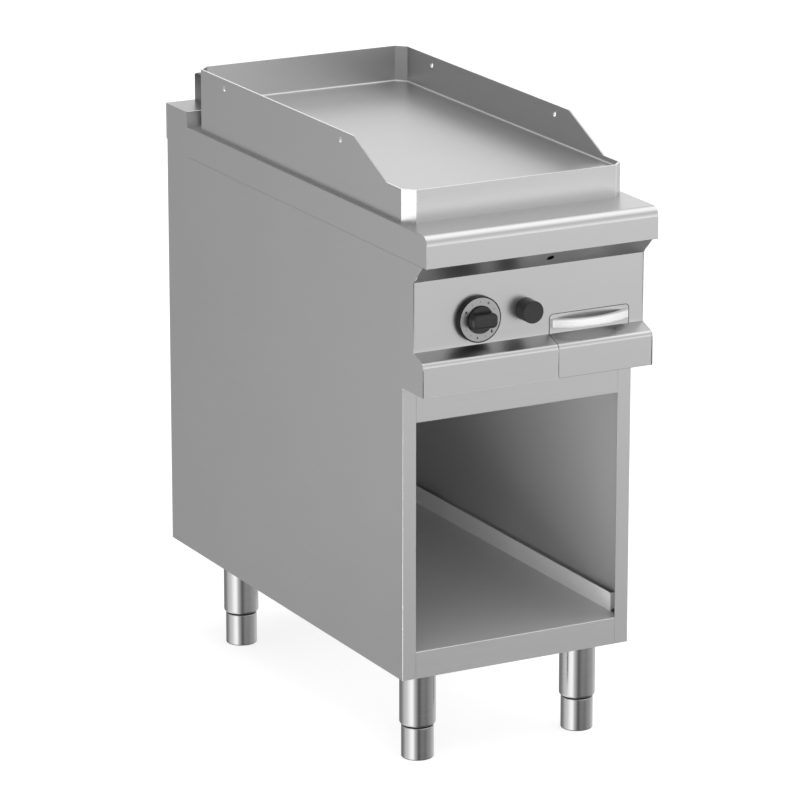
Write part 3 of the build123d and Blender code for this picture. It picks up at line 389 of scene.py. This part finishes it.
def soften(node, finish, edge_radius, fold_radius=0.0, edge_finish=None, follow_bends=False):
    """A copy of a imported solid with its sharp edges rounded, standing for that solid."""
    bm = bmesh.new()
    bm.from_mesh(nodes[node].data)
    bmesh.ops.remove_doubles(bm, verts=bm.verts, dist=WELD_DISTANCE)
    bmesh.ops.dissolve_limit(bm, angle_limit=FLAT_ANGLE, verts=bm.verts, edges=bm.edges)
    original = BVHTree.FromBMesh(bm)
    low = [min(vert.co[axis] for vert in bm.verts) for axis in range(3)]
    high = [max(vert.co[axis] for vert in bm.verts) for axis in range(3)]
    widest = max(edge_radius, fold_radius)
    share = bm.edges.layers.float.new("bevel_weight_edge")
    for edge in sharp_edges(bm, SHARP_ANGLE):
        edge[share] = edge_radius / widest
    if fold_radius:
        for edge in fold_edges(bm, follow_bends):
            edge[share] = 1.0
    mesh = bpy.data.meshes.new(node + "_skin")
    bm.to_mesh(mesh)
    bm.free()
    obj = bpy.data.objects.new(node + "_skin", mesh)
    bpy.context.scene.collection.objects.link(obj)
    wear(obj, finish, edge_finish or finish)
    rounding = obj.modifiers.new("rounding", "BEVEL")
    rounding.limit_method = "WEIGHT"
    rounding.width = widest
    rounding.segments = ROUND_STEPS
    rounding.use_clamp_overlap = False
    rounding.material = 1
    graph = bpy.context.evaluated_depsgraph_get()
    obj.data = bpy.data.meshes.new_from_object(obj.evaluated_get(graph))
    obj.modifiers.clear()
    settle(obj.data, original, low, high, STRAY_LIMIT * widest)
    smooth_by_angle(obj, SMOOTH_ANGLE)
    if fold_radius:
        flatten_broad(obj.data)
    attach(obj, body_of_node[node])
    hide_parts(node)
    return obj


def add_piece(name, bm, finish, body):
    """A new piece from a mesh in the making, riding on a body."""
    bmesh.ops.recalc_face_normals(bm, faces=bm.faces)
    mesh = bpy.data.meshes.new(name)
    bm.to_mesh(mesh)
    bm.free()
    obj = bpy.data.objects.new(name, mesh)
    bpy.context.scene.collection.objects.link(obj)
    wear(obj, finish)
    smooth_by_angle(obj, SMOOTH_ANGLE)
    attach(obj, body)
    return obj


def carve(node, cutters, finish):
    """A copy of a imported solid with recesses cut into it, standing for that solid."""
    bm = bmesh.new()
    bm.from_mesh(nodes[node].data)
    bmesh.ops.remove_doubles(bm, verts=bm.verts, dist=WELD_DISTANCE)
    blank_mesh = bpy.data.meshes.new("blank")
    bm.to_mesh(blank_mesh)
    bm.free()
    bmesh.ops.recalc_face_normals(cutters, faces=cutters.faces)
    cutter_mesh = bpy.data.meshes.new("cutter")
    cutters.to_mesh(cutter_mesh)
    cutters.free()
    blank = bpy.data.objects.new("blank", blank_mesh)
    cutter = bpy.data.objects.new("cutter", cutter_mesh)
    for obj in (blank, cutter):
        bpy.context.scene.collection.objects.link(obj)
    recess = blank.modifiers.new("recess", "BOOLEAN")
    recess.operation = "DIFFERENCE"
    recess.solver = "EXACT"
    recess.object = cutter
    graph = bpy.context.evaluated_depsgraph_get()
    mesh = bpy.data.meshes.new_from_object(blank.evaluated_get(graph))
    mesh.name = node + "_skin"
    for obj in (blank, cutter):
        bpy.data.objects.remove(obj)
    obj = bpy.data.objects.new(node + "_skin", mesh)
    bpy.context.scene.collection.objects.link(obj)
    wear(obj, finish)
    smooth_by_angle(obj, CARVED_ANGLE)
    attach(obj, body_of_node[node])
    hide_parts(node)
    return obj


def solid_boxes(node):
    """The box of each separate solid in a node."""
    bm = bmesh.new()
    bm.from_mesh(nodes[node].data)
    bmesh.ops.remove_doubles(bm, verts=bm.verts, dist=WELD_DISTANCE)
    unseen = set(bm.verts)
    boxes = []
    while unseen:
        front = [unseen.pop()]
        points = []
        while front:
            vert = front.pop()
            points.append(vert.co.copy())
            for edge in vert.link_edges:
                other = edge.other_vert(vert)
                if other in unseen:
                    unseen.remove(other)
                    front.append(other)
        low = Vector([min(point[axis] for point in points) for axis in range(3)])
        high = Vector([max(point[axis] for point in points) for axis in range(3)])
        boxes.append((low, high))
    bm.free()
    return sorted(boxes, key=lambda box: tuple(box[0]))


def ring_z(bm, centre, profile, count=48):
    """A closed ring turned about an upright axis, from a profile of radius and height."""
    loops = []
    for i in range(count):
        t = 2.0 * math.pi * i / count
        x, y = math.cos(t), math.sin(t)
        loops.append([bm.verts.new((centre.x + r * x, centre.y + r * y, z)) for r, z in profile])
    for i in range(count):
        near, far = loops[i], loops[(i + 1) % count]
        for k in range(len(profile)):
            j = (k + 1) % len(profile)
            bm.faces.new((near[k], near[j], far[j], far[k]))


def prism_y(bm, outline, front, back):
    """A flat plate with an outline in x and z, between two depths."""
    near = [bm.verts.new((x, front, z)) for x, z in outline]
    far = [bm.verts.new((x, back, z)) for x, z in outline]
    bm.faces.new(near)
    bm.faces.new(list(reversed(far)))
    for i in range(len(outline)):
        j = (i + 1) % len(outline)
        bm.faces.new((near[j], near[i], far[i], far[j]))


def round_outline(x, z, radius, count=20):
    """Points of a circle."""
    turns = [2.0 * math.pi * i / count for i in range(count)]
    return [(x + radius * math.cos(t), z + radius * math.sin(t)) for t in turns]


def bar_outline(x, z, turn, length, width):
    """Points of a short bar, turned about its middle."""
    along = Vector((math.cos(turn), math.sin(turn)))
    across = Vector((-along.y, along.x))
    corners = ((-1, -1), (1, -1), (1, 1), (-1, 1))
    points = [along * (a * length / 2) + across * (b * width / 2) for a, b in corners]
    return [(x + point.x, z + point.y) for point in points]


# How a drop narrows to its tip
DROP_FULLNESS = 1.6
DROP_TAPER = 0.6


def drop_outline(x, z, height, width, count=14):
    """Points of a flame-like drop with its tip up."""
    points = []
    for i in range(count):
        t = 2.0 * math.pi * i / count
        narrowing = min(1.0, DROP_FULLNESS * 0.5 * (1.0 - math.sin(t)) ** DROP_TAPER)
        points.append((x + width / 2 * math.cos(t) * narrowing, z + height / 2 * math.sin(t)))
    return points


# Folded sheets by finish, and those whose folds get a painted highlight
sheets = {
    "front_sheet": ("control_panel", "drawer_front", "front_top_rail", "base_shelf", "worktop",
                    "rear_upstand", "back_panel"),
    "shelf_sheet": ("bay_back_panel", "bay_ceiling"),
    "heat_tint_and_shade_sheet": ("flue_outlet",),
    "side_sheet": ("left_side_panel", "right_side_panel"),
    "guard_sheet": ("splash_guard",),
    "ground_plate": ("griddle_plate",),
    "dial_face": ("dial_plate",),
    "mill_sheet": ("grease_pan",),
}
bright_edged = ("control_panel", "base_shelf", "rear_upstand", "left_side_panel", "right_side_panel",
                "splash_guard")
skins = {}
for finish, names in sheets.items():
    for name in names:
        # the folds of these sheets get the painted highlight
        rim = "painted_highlight_edge" if name in bright_edged else finish
        skins[name] = soften(name, finish, 0.0, SHEET_FOLD, rim, follow_bends=name == "worktop")

# Faces with tones of their own, picked by their place and by the direction that they face; most of them are
# painted light, painted shade or painted highlights
SIDEWAYS = 0.7
LEVEL = 0.9
RIM_RISE = 0.6
SLOPE_RISE, SLOPE_LEAN = 0.85, 0.1
left_x = cad_box[0][0] + SHEET / 2
right_x = cad_box[1][0] - SHEET / 2
shelf_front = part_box("base_shelf")[0][1] + 1.1 * SHEET
flange_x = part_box("base_shelf")[1][0] - 2 * SHEET
plate_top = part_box("griddle_plate")[1][2]


def tone_faces():
    """Duller inner faces with painted shade on the side walls and painted light on the shelf's flanges,
    painted highlights on the guard's rims, and painted shade on the slopes of the front and on the upstand's
    top.
    """
    # painted shade on the side panels' faces inside the bay
    recolour(skins["left_side_panel"], "painted_shade_bay_sheet",
             lambda face: face.normal.x > SIDEWAYS and face.center.x > left_x)
    recolour(skins["right_side_panel"], "painted_shade_bay_sheet",
             lambda face: face.normal.x < -SIDEWAYS and face.center.x < right_x)
    recolour(skins["base_shelf"], "shelf_sheet", lambda face: face.center.y > shelf_front)
    # painted light on the shelf's flanges
    recolour(skins["base_shelf"], "painted_light_flange",
             lambda face: face.normal.x < -SIDEWAYS and face.center.x > flange_x)
    # painted shade on the upstand's top faces
    recolour(skins["rear_upstand"], "painted_shade_sheet", lambda face: face.normal.z > LEVEL)
    # painted highlight on the splash guard's top rims
    recolour(skins["splash_guard"], "painted_highlight_edge",
             lambda face: face.normal.z > RIM_RISE and face.center.z > plate_top)
    # painted shade on the slopes of the front
    for name in ("control_panel", "drawer_front"):
        recolour(skins[name], "painted_shade_sheet",
                 lambda face: face.normal.z > SLOPE_RISE and face.normal.y < -SLOPE_LEAN)


tone_faces()


# Tabs at the ends of the shelf's flanges
FLANGE_FRONT = -343.0 * MM
FLANGE_NOTCH = 6.0 * MM
FLANGE_HEIGHT = 29.0 * MM


def flange_ends():
    """Small folded tabs that close the flanges of the shelf against the side panels."""
    edge, _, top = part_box("base_shelf")[1]
    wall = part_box("right_side_panel")[1][0] - SHEET
    foot = top - FLANGE_HEIGHT
    bm = bmesh.new()
    for side in (-1.0, 1.0):
        near, far = side * edge, side * wall
        outline = [(near, foot), (far, foot + FLANGE_NOTCH), (far, top), (near, top)]
        prism_y(bm, outline, FLANGE_FRONT, FLANGE_FRONT + SHEET)
    # the tabs take the same painted shade as the bay's walls
    return add_piece("flange_ends", bm, "painted_shade_bay_sheet", "cabinet")


flange_ends()


# Handle, dial, knob, button, legs and feet
# Heights of the black bands of painted shade at a foot's bottom and under the tube
FOOT_SHADE_BAND = 2.6 * MM
FOOT_GROOVE = 1.9 * MM


def leg_and_foot(place):
    """A polished leg and its foot, with painted shade as black bands at the foot's bottom and in the groove
    under the tube, and a steel stem.
    """
    soften(place + "_leg", "polished_tube", LEG_EDGE)
    foot = soften(place + "_foot", "polished_tube", FOOT_EDGE)
    tube_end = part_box(place + "_leg")[0][2]
    groove = tube_end - FOOT_GROOVE
    recolour(foot, "fastener", lambda face: face.center.z > tube_end)
    # painted shade as black bands at the foot's bottom and in its groove
    recolour(foot, "painted_shade_black",
             lambda face: face.center.z < FOOT_SHADE_BAND or groove < face.center.z <= tube_end)


soften("drawer_handle", "handle_bar", HANDLE_EDGE)
soften("dial_ring", "dial_rim", DIAL_EDGE)
for name in ("knob_grip", "igniter_button"):
    soften(name, "black_plastic", PLASTIC_EDGE)
for place in FEET:
    leg_and_foot(place)


# Cross recesses in the screws of the back panel
CROSS_LENGTH = 4.4 * MM
CROSS_WIDTH = 1.2 * MM
CROSS_DEPTH = 1.1 * MM


def back_screw_recesses():
    """Cross-head screws that hold the back panel."""
    bm = bmesh.new()
    half, slit = CROSS_LENGTH / 2, CROSS_WIDTH / 2
    corners = ((half, -slit), (half, slit), (slit, slit), (slit, half), (-slit, half), (-slit, slit),
               (-half, slit), (-half, -slit), (-slit, -slit), (-slit, -half), (slit, -half), (slit, -slit))
    for low, high in solid_boxes("back_screws"):
        x, z = (low.x + high.x) / 2, (low.z + high.z) / 2
        prism_y(bm, [(x + a, z + b) for a, b in corners], high.y - CROSS_DEPTH, high.y + MM)
    return carve("back_screws", bm, "fastener")


back_screw_recesses()


# Thread of the gas inlet
THREAD_RADIUS = 10.48 * MM
THREAD_PITCH = 1.81 * MM
THREAD_DEPTH = 1.1 * MM
THREAD_FLANK = 0.46


def gas_inlet_thread():
    """Thread turns on the gas inlet below the cabinet's floor."""
    low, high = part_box("gas_inlet")
    centre = Vector(((low[0] + high[0]) / 2, (low[1] + high[1]) / 2))
    cabinet_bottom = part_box("left_side_panel")[0][2]
    root, clear = THREAD_RADIUS - THREAD_DEPTH, THREAD_RADIUS + THREAD_DEPTH
    half = THREAD_FLANK * THREAD_PITCH
    bm = bmesh.new()
    z = low[2] + THREAD_PITCH
    while z < cabinet_bottom - 2 * THREAD_PITCH:
        ring_z(bm, centre, ((root, z), (clear, z + 2 * half), (clear, z - 2 * half)))
        z += THREAD_PITCH
    return carve("gas_inlet", bm, "brass")


gas_inlet_thread()


# Printed marks on the dial
INK = 0.06 * MM
MARK_RADIUS = 28.0 * MM
LINE_WIDTH = 0.7 * MM
OFF_ANGLE, OFF_RADIUS = -60.0, 1.9 * MM
SPARK_ANGLE, SPARK_LENGTH, SPARK_BARS = 30.0, 4.6 * MM, 3
FLAMES = ((135.0, 6.2 * MM, 4.2 * MM), (190.0, 4.0 * MM, 2.8 * MM))
TICK_ANGLES = (-90.0, -30.0, 0.0, 60.0, 90.0, 162.0, 215.0, 240.0)
TICK_LENGTH = 2.6 * MM


def dial_marks():
    """A dot for off, a spark, a large and a small flame, and ticks between them, printed round the knob."""
    low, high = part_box("dial_plate")
    centre_x = (low[0] + high[0]) / 2
    centre_z = (low[2] + high[2]) / 2
    front = low[1] - INK
    back = low[1] + INK
    bm = bmesh.new()

    def around(clock_degrees):
        turn = math.radians(90.0 - clock_degrees)
        return turn, centre_x + MARK_RADIUS * math.cos(turn), centre_z + MARK_RADIUS * math.sin(turn)

    _, x, z = around(OFF_ANGLE)
    prism_y(bm, round_outline(x, z, OFF_RADIUS), front, back)
    turn, x, z = around(SPARK_ANGLE)
    for step in range(SPARK_BARS):
        bar = bar_outline(x, z, turn + step * math.pi / SPARK_BARS, SPARK_LENGTH, LINE_WIDTH)
        prism_y(bm, bar, front - step * INK / 5, back)
    for clock_degrees, height, width in FLAMES:
        _, x, z = around(clock_degrees)
        prism_y(bm, drop_outline(x, z, height, width), front, back)
    for clock_degrees in TICK_ANGLES:
        turn, x, z = around(clock_degrees)
        prism_y(bm, bar_outline(x, z, turn, TICK_LENGTH, LINE_WIDTH), front, back)
    return add_piece("dial_marks", bm, "print_ink", "cabinet")


dial_marks()


# Weld bead between the plate and the walls round it
BEAD = 1.8 * MM
BEAD_STEPS = 5


def outer_loop(node, height):
    """Corners of a node's outline at a height, in order round it."""
    level = [vert.co for vert in nodes[node].data.vertices if abs(vert.co.z - height) < MM / 10]
    points = sorted({(round(co.x, 5), round(co.y, 5)) for co in level})
    lower = []
    upper = []
    for chain, ordered in ((lower, points), (upper, list(reversed(points)))):
        for point in ordered:
            while len(chain) >= 2:
                ax, ay = chain[-1][0] - chain[-2][0], chain[-1][1] - chain[-2][1]
                bx, by = point[0] - chain[-1][0], point[1] - chain[-1][1]
                if ax * by - ay * bx > 1e-9:
                    break
                chain.pop()
            chain.append(point)
    return [Vector(point) for point in lower[:-1] + upper[:-1]]


def inset_loop(loop, distance):
    """A convex outline drawn in by a distance."""
    inner = []
    for i, point in enumerate(loop):
        before = (point - loop[i - 1]).normalized()
        after = (loop[(i + 1) % len(loop)] - point).normalized()
        normal_before = Vector((-before.y, before.x))
        normal_after = Vector((-after.y, after.x))
        mitre = (normal_before + normal_after).normalized()
        inner.append(point + mitre * (distance / mitre.dot(normal_before)))
    return inner


def plate_weld():
    """A small bead with a hollow face that runs round the plate's edge."""
    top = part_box("griddle_plate")[1][2]
    loop = outer_loop("griddle_plate", top)
    sections = [(0.0, -BEAD / 3), (0.0, BEAD)]
    for i in range(1, BEAD_STEPS):
        t = math.pi / 2 * i / BEAD_STEPS
        sections.append((BEAD * (1.0 - math.cos(t)), BEAD * (1.0 - math.sin(t))))
    sections += [(BEAD, 0.0), (BEAD, -BEAD / 3)]
    bm = bmesh.new()
    rings = []
    for inward, rise in sections:
        rings.append([bm.verts.new((p.x, p.y, top + rise)) for p in inset_loop(loop, inward)])
    for k in range(len(rings)):
        ring, following = rings[k], rings[(k + 1) % len(rings)]
        for i in range(len(loop)):
            j = (i + 1) % len(loop)
            bm.faces.new((ring[i], ring[j], following[j], following[i]))
    return add_piece("plate_weld", bm, "handle_bar", "cabinet")


plate_weld()


# Solids that are shown as packed, by finish
carried = {
    "mill_sheet": ("front_cross_member", "rear_cross_member", "left_drawer_runner", "right_drawer_runner",
                   "grease_chute", "inlet_bracket", "pilot_burner", "front_burner_bracket",
                   "rear_burner_bracket"),
    "fastener": ("leg_bolts", "handle_screws", "valve_spindle", "valve_sleeve", "supply_pipe", "burner_pipe"),
    "stained_steel": ("firebox", "flue_duct", "burner"),
    "black_plastic": ("igniter_body",),
    "valve_alloy": ("gas_valve",),
    "brass": ("injector", "thermocouple", "pilot_pipe"),
    "ceramic": ("spark_electrode",),
    "lead_rubber": ("ignition_lead",),
}
for finish, names in carried.items():
    for name in names:
        wear(nodes[name], finish)


# Studio: floor, light and camera

FLOOR_REACH = 60.0
FLOOR_HEIGHT = -0.1 * MM
FLOOR_DARK, FLOOR_LIGHT = 0.46, 0.48
FLOOR_CLOUDS = 0.7
FLOOR_ROUGHNESS = 0.9
FLOOR_GLOW = 0.74
WHITE = (1.0, 1.0, 1.0, 1.0)


def studio_floor():
    """A wide pale floor under the feet, which polished steel doesn't mirror."""
    mesh = bpy.data.meshes.new("studio_floor")
    signs = ((-1, -1), (1, -1), (1, 1), (-1, 1))
    corners = [(a * FLOOR_REACH, b * FLOOR_REACH, FLOOR_HEIGHT) for a, b in signs]
    mesh.from_pydata(corners, [], [(0, 1, 2, 3)])
    floor = bpy.data.objects.new("studio_floor", mesh)
    bpy.context.scene.collection.objects.link(floor)
    material, tree, shader = new_material("pale_floor")
    clouds = noise(tree, FLOOR_CLOUDS)
    greys = blend_colours(tree, clouds, shade(FLOOR_DARK), shade(FLOOR_LIGHT))
    tree.links.new(greys, shader.inputs["Base Color"])
    shader.inputs["Roughness"].default_value = FLOOR_ROUGHNESS
    shader.inputs["Specular IOR Level"].default_value = 0.0
    shader.inputs["Emission Color"].default_value = WHITE
    shader.inputs["Emission Strength"].default_value = FLOOR_GLOW
    floor.data.materials.append(material)
    floor.visible_glossy = False


# Brightness of the studio by direction: angles round the object, with the front at 0, the right at 90
# and the left at -90 degrees, in rows from low to high, each at the height that a unit direction has there
STUDIO_ANGLES = (-180.0, -152.0, -110.0, -62.0, -40.0, -20.0, 5.0, 30.0, 60.0, 110.0, 150.0)
STUDIO_ROWS = (
    (-0.80, (0.80, 1.60, 1.60, 1.40, 0.60, 0.20, 0.20, 0.20, 0.20, 0.25, 0.30)),
    (-0.38, (0.30, 0.36, 1.20, 2.20, 0.80, 0.12, 0.22, 0.08, 0.50, 1.00, 0.40)),
    (-0.15, (0.40, 0.42, 0.90, 2.20, 0.80, 0.40, 1.25, 1.62, 0.90, 0.80, 0.80)),
    (0.28, (0.60, 0.22, 0.25, 0.30, 0.35, 0.45, 0.80, 0.90, 0.80, 0.70, 1.12)),
    (0.60, (0.50, 0.40, 0.40, 0.40, 0.40, 0.45, 0.55, 0.65, 0.75, 0.90, 0.60)),
    (0.76, (0.80, 0.60, 0.50, 0.50, 0.50, 0.50, 0.70, 0.95, 1.35, 1.55, 1.20)),
    (0.95, (1.50, 1.40, 1.40, 1.50, 1.50, 1.50, 1.50, 1.50, 1.60, 1.60, 1.50)),
)
STUDIO_PEAK = 2.5
BACKDROP = 0.98


def world_maths(tree, operation, *values):
    """A maths node fed by sockets or numbers."""
    node = tree.nodes.new("ShaderNodeMath")
    node.operation = operation
    for socket, value in zip(node.inputs, values):
        if isinstance(value, (int, float)):
            socket.default_value = value
        else:
            tree.links.new(value, socket)
    return node.outputs["Value"]


def world_step(tree, value, start, stop):
    """A smooth step of a value from 0 to 1."""
    node = tree.nodes.new("ShaderNodeMapRange")
    node.interpolation_type = "SMOOTHSTEP"
    for name, number in (("From Min", start), ("From Max", stop), ("To Min", 0.0), ("To Max", 1.0)):
        node.inputs[name].default_value = number
    tree.links.new(value, node.inputs["Value"])
    return node.outputs["Result"]


def world_mix(tree, factor, first, second):
    """A value between two values."""
    node = tree.nodes.new("ShaderNodeMix")
    node.data_type = "FLOAT"
    sockets = (node.inputs[0], node.inputs[2], node.inputs[3])
    for socket, value in zip(sockets, (factor, first, second)):
        if isinstance(value, (int, float)):
            socket.default_value = value
        else:
            tree.links.new(value, socket)
    return node.outputs[0]


def studio_row(tree, turn, levels):
    """Brightness along one row of the studio."""
    ramp = tree.nodes.new("ShaderNodeValToRGB")
    ramp.color_ramp.interpolation = "EASE"
    stops = [*zip(STUDIO_ANGLES, levels), (180.0, levels[0])]
    while len(ramp.color_ramp.elements) < len(stops):
        ramp.color_ramp.elements.new(0.5)
    for element, (degrees, level) in zip(ramp.color_ramp.elements, stops):
        element.position = degrees / 360.0 + 0.5
        element.color = (*shade(level / STUDIO_PEAK), 1.0)
    tree.links.new(turn, ramp.inputs["Fac"])
    return ramp.outputs["Color"]


def studio_light():
    """Soft light from all round, by the table of angles and rows, before a plain pale backdrop."""
    world = bpy.data.worlds.new("studio")
    bpy.context.scene.world = world
    world.use_nodes = True
    tree = world.node_tree
    background = tree.nodes["Background"]
    coords = tree.nodes.new("ShaderNodeTexCoord")
    split = tree.nodes.new("ShaderNodeSeparateXYZ")
    tree.links.new(coords.outputs["Generated"], split.inputs["Vector"])
    x, y, z = (split.outputs[axis] for axis in "XYZ")
    angle = world_maths(tree, "ARCTAN2", x, world_maths(tree, "MULTIPLY", y, -1.0))
    turn = world_maths(tree, "MULTIPLY_ADD", angle, 0.5 / math.pi, 0.5)
    height, levels = STUDIO_ROWS[0]
    level = studio_row(tree, turn, levels)
    for next_height, levels in STUDIO_ROWS[1:]:
        rise = world_step(tree, z, height, next_height)
        level = world_mix(tree, rise, level, studio_row(tree, turn, levels))
        height = next_height
    level = world_maths(tree, "MULTIPLY", level, STUDIO_PEAK)
    path = tree.nodes.new("ShaderNodeLightPath")
    seen = world_mix(tree, path.outputs["Is Camera Ray"], level, BACKDROP)
    tree.links.new(seen, background.inputs["Strength"])
    background.inputs["Color"].default_value = WHITE


# Small boards of light: one for the bay, one low at the front and one for the left side
BAY_BOARD = {"place": (-0.8, -1.5, 0.32), "target": (0.2, -0.2, 0.3), "width": 0.8, "height": 0.5,
             "power": 7.5}
LOW_BOARD = {"place": (-0.25, -0.85, 0.06), "target": (0.19, -0.10, 0.64), "width": 0.4, "height": 0.12,
             "power": 0.48}
LOW_BOARD_SPREAD = math.radians(50.0)
SIDE_BOARD = {"place": (-1.7, 1.3, 0.2), "target": (-0.2, -0.3, 0.4), "width": 1.4, "height": 1.2,
              "power": 0.7}


def light_board(name, place, target, width, height, power):
    """A soft light board that faces a point."""
    data = bpy.data.lights.new(name, "AREA")
    data.shape = "RECTANGLE"
    data.size = width
    data.size_y = height
    data.energy = power
    board = bpy.data.objects.new(name, data)
    bpy.context.scene.collection.objects.link(board)
    board.location = place
    board.rotation_euler = (Vector(target) - Vector(place)).to_track_quat("-Z", "Y").to_euler()
    return board


CAMERA_PLACE = Vector((-3.549, -6.664, 2.670))
CAMERA_HEADING = math.radians(28.0)
CAMERA_DIP = math.radians(16.2)
CAMERA_LENS = 221.1
CAMERA_SENSOR = 36.0
CAMERA_REACH = 200.0


def studio_camera():
    """The photograph's point of view, from the front left and a little above."""
    data = bpy.data.cameras.new("camera")
    data.lens = CAMERA_LENS
    data.sensor_width = CAMERA_SENSOR
    data.clip_end = CAMERA_REACH
    camera = bpy.data.objects.new("camera", data)
    bpy.context.scene.collection.objects.link(camera)
    camera.location = CAMERA_PLACE
    camera.rotation_euler = (math.pi / 2 - CAMERA_DIP, 0.0, -CAMERA_HEADING)
    bpy.context.scene.camera = camera


studio_floor()
studio_light()
bay_board = light_board("bay_board", **BAY_BOARD)
low_board = light_board("low_board", **LOW_BOARD)
low_board.data.spread = LOW_BOARD_SPREAD
for board in (bay_board, low_board):
    board.visible_glossy = False
    board.visible_camera = False
light_board("side_board", **SIDE_BOARD)
studio_camera()
bpy.context.scene.view_settings.view_transform = "Standard"
